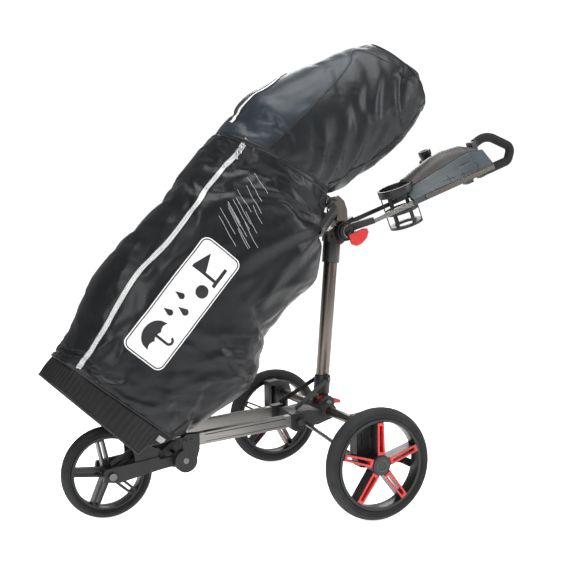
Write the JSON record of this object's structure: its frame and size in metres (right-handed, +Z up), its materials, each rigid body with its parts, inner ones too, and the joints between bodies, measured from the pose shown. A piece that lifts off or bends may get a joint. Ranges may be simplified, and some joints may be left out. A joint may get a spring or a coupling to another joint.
{
  "type": "golf bag on push cart",
  "caption": "Covered golf bag strapped at an angle on a three-wheeled folding push cart with a tilting handle, lidded console, cup holder and foam grip loop.",
  "frame": {"origin": "centre of the footprint's bounding box, on the ground", "axes": "+Z up, front wheel towards -X, handle towards +X, left side -Y"},
  "size_m": [1.4404, 0.706, 1.238],
  "materials": {
    "tyre": "matt rubber with fine grooves",
    "wheel_black": "satin moulded",
    "red_trim": "satin",
    "black_plastic": "fine texture",
    "dark_grey_plastic": "fine texture",
    "steel": "satin",
    "gunmetal": "brushed, anodised",
    "silver": "brushed, anodised",
    "black_metal": "satin",
    "console_grey": "fine texture",
    "lid_grey": "fine texture",
    "foam": "closed-cell foam",
    "cover_cloth": "coated woven nylon",
    "bag_cloth": "woven",
    "club_steel": "polished",
    "cord": "braided",
    "zip_metal": "polished"
  },
  "bodies": {
    "cart": {"front_fork": "black_plastic", "front_axle": "steel", "front_hinge_brackets": "black_plastic", "front_hinge_bolt": "steel", "bag_cradle": "black_plastic", "rails": "silver", "rail_ends": "black_plastic", "rear_housing": "dark_grey_plastic", "leg_tubes": "gunmetal", "knuckles": "dark_grey_plastic", "struts": "silver", "rear_axles": "steel", "brake_mount": "black_metal", "upright_tube": "gunmetal", "upright_foot": "black_plastic", "frame_bolts": "steel", "left_brace": "silver", "right_brace": "black_metal", "elbow": "gunmetal", "handle_hinge_bolt": "steel", "bracket_post": "gunmetal", "bag_saddle": "black_plastic", "strap_loop": "cord", "bag_body": "bag_cloth", "bag_collar": "black_plastic", "clubs": "club_steel", "cover_body": "cover_cloth", "cover_hood": "cover_cloth", "cover_skirt": "cover_cloth", "zip_sliders": "zip_metal"},
    "front_wheel": {"front_tyre": "tyre", "front_wheel": "wheel_black", "front_bearings": "steel"},
    "left_wheel": {"left_tyre": "tyre", "left_wheel": "wheel_black", "left_spoke_inserts": "red_trim", "left_bearings": "steel", "left_hub_cap": "dark_grey_plastic"},
    "right_wheel": {"right_tyre": "tyre", "right_wheel": "wheel_black", "right_spoke_inserts": "red_trim", "right_bearings": "steel", "right_hub_cap": "dark_grey_plastic"},
    "handle": {"yokes": "black_plastic", "left_handle_arm": "silver", "right_handle_arm": "black_metal", "console": "console_grey", "console_strips": "gunmetal", "cup_holder": "black_plastic", "grip_core": "black_metal", "grip_foam": "foam", "umbrella_bracket": "black_plastic", "cam_cap": "black_plastic"},
    "cam_lever": {"cam_lever": "red_trim"},
    "console_lid": {"console_lid": "lid_grey"},
    "umbrella_socket": {"umbrella_socket": "black_plastic"},
    "brake_pedal": {"brake_pedal": "black_plastic"},
    "fold_release": {"fold_release_lever": "red_trim"},
    "lower_zip_pull": {"lower_zip_pull": "zip_metal"},
    "upper_zip_pull": {"upper_zip_pull": "zip_metal"}
  },
  "joints": [
    {"name": "left_wheel_spin", "type": "hinge", "parent": "cart", "child": "left_wheel", "pos_m": [0.05925, -0.329, 0.145], "axis": [0, 1, 0], "continuous": true},
    {"name": "right_wheel_spin", "type": "hinge", "parent": "cart", "child": "right_wheel", "pos_m": [0.05925, 0.329, 0.145], "axis": [0, 1, 0], "continuous": true},
    {"name": "front_wheel_spin", "type": "hinge", "parent": "cart", "child": "front_wheel", "pos_m": [-0.55775, 0, 0.12], "axis": [0, 1, 0], "continuous": true},
    {"name": "handle_tilt", "type": "hinge", "parent": "cart", "child": "handle", "pos_m": [0.12725, 0, 0.727], "axis": [0, -1, 0], "range_deg": [-60, 8]},
    {"name": "cam_lever_swing", "type": "hinge", "parent": "handle", "child": "cam_lever", "pos_m": [0.13425, -0.051, 0.70827], "axis": [0.3502, 0, -0.9367], "range_deg": [0, 100]},
    {"name": "lid_hinge", "type": "hinge", "parent": "handle", "child": "console_lid", "pos_m": [0.38845, 0.0375, 0.87932], "axis": [-0.8887, 0, -0.4584], "range_deg": [0, 90]},
    {"name": "umbrella_tilt", "type": "hinge", "parent": "handle", "child": "umbrella_socket", "pos_m": [0.48486, 0.08, 0.89273], "axis": [0, 1, 0], "range_deg": [-60, 60]},
    {"name": "brake_pedal_press", "type": "hinge", "parent": "cart", "child": "brake_pedal", "pos_m": [0.09725, -0.28, 0.15], "axis": [0, 1, 0], "range_deg": [0, 20]},
    {"name": "fold_release_press", "type": "hinge", "parent": "cart", "child": "fold_release", "pos_m": [0.06925, 0, 0.247], "axis": [0, 1, 0], "range_deg": [0, 15], "stiffness_Nm_per_rad": 1.5, "springref_deg": -5.73},
    {"name": "lower_zip_pull_swing", "type": "hinge", "parent": "cart", "child": "lower_zip_pull", "pos_m": [-0.21814, -0.10005, 0.94171], "axis": [-0.491, -0.7907, 0.3657], "range_deg": [-36, 25]},
    {"name": "upper_zip_pull_swing", "type": "hinge", "parent": "cart", "child": "upper_zip_pull", "pos_m": [-0.20662, -0.10005, 0.957], "axis": [-0.5365, -0.7723, 0.3401], "range_deg": [0, 50]}
  ]
}
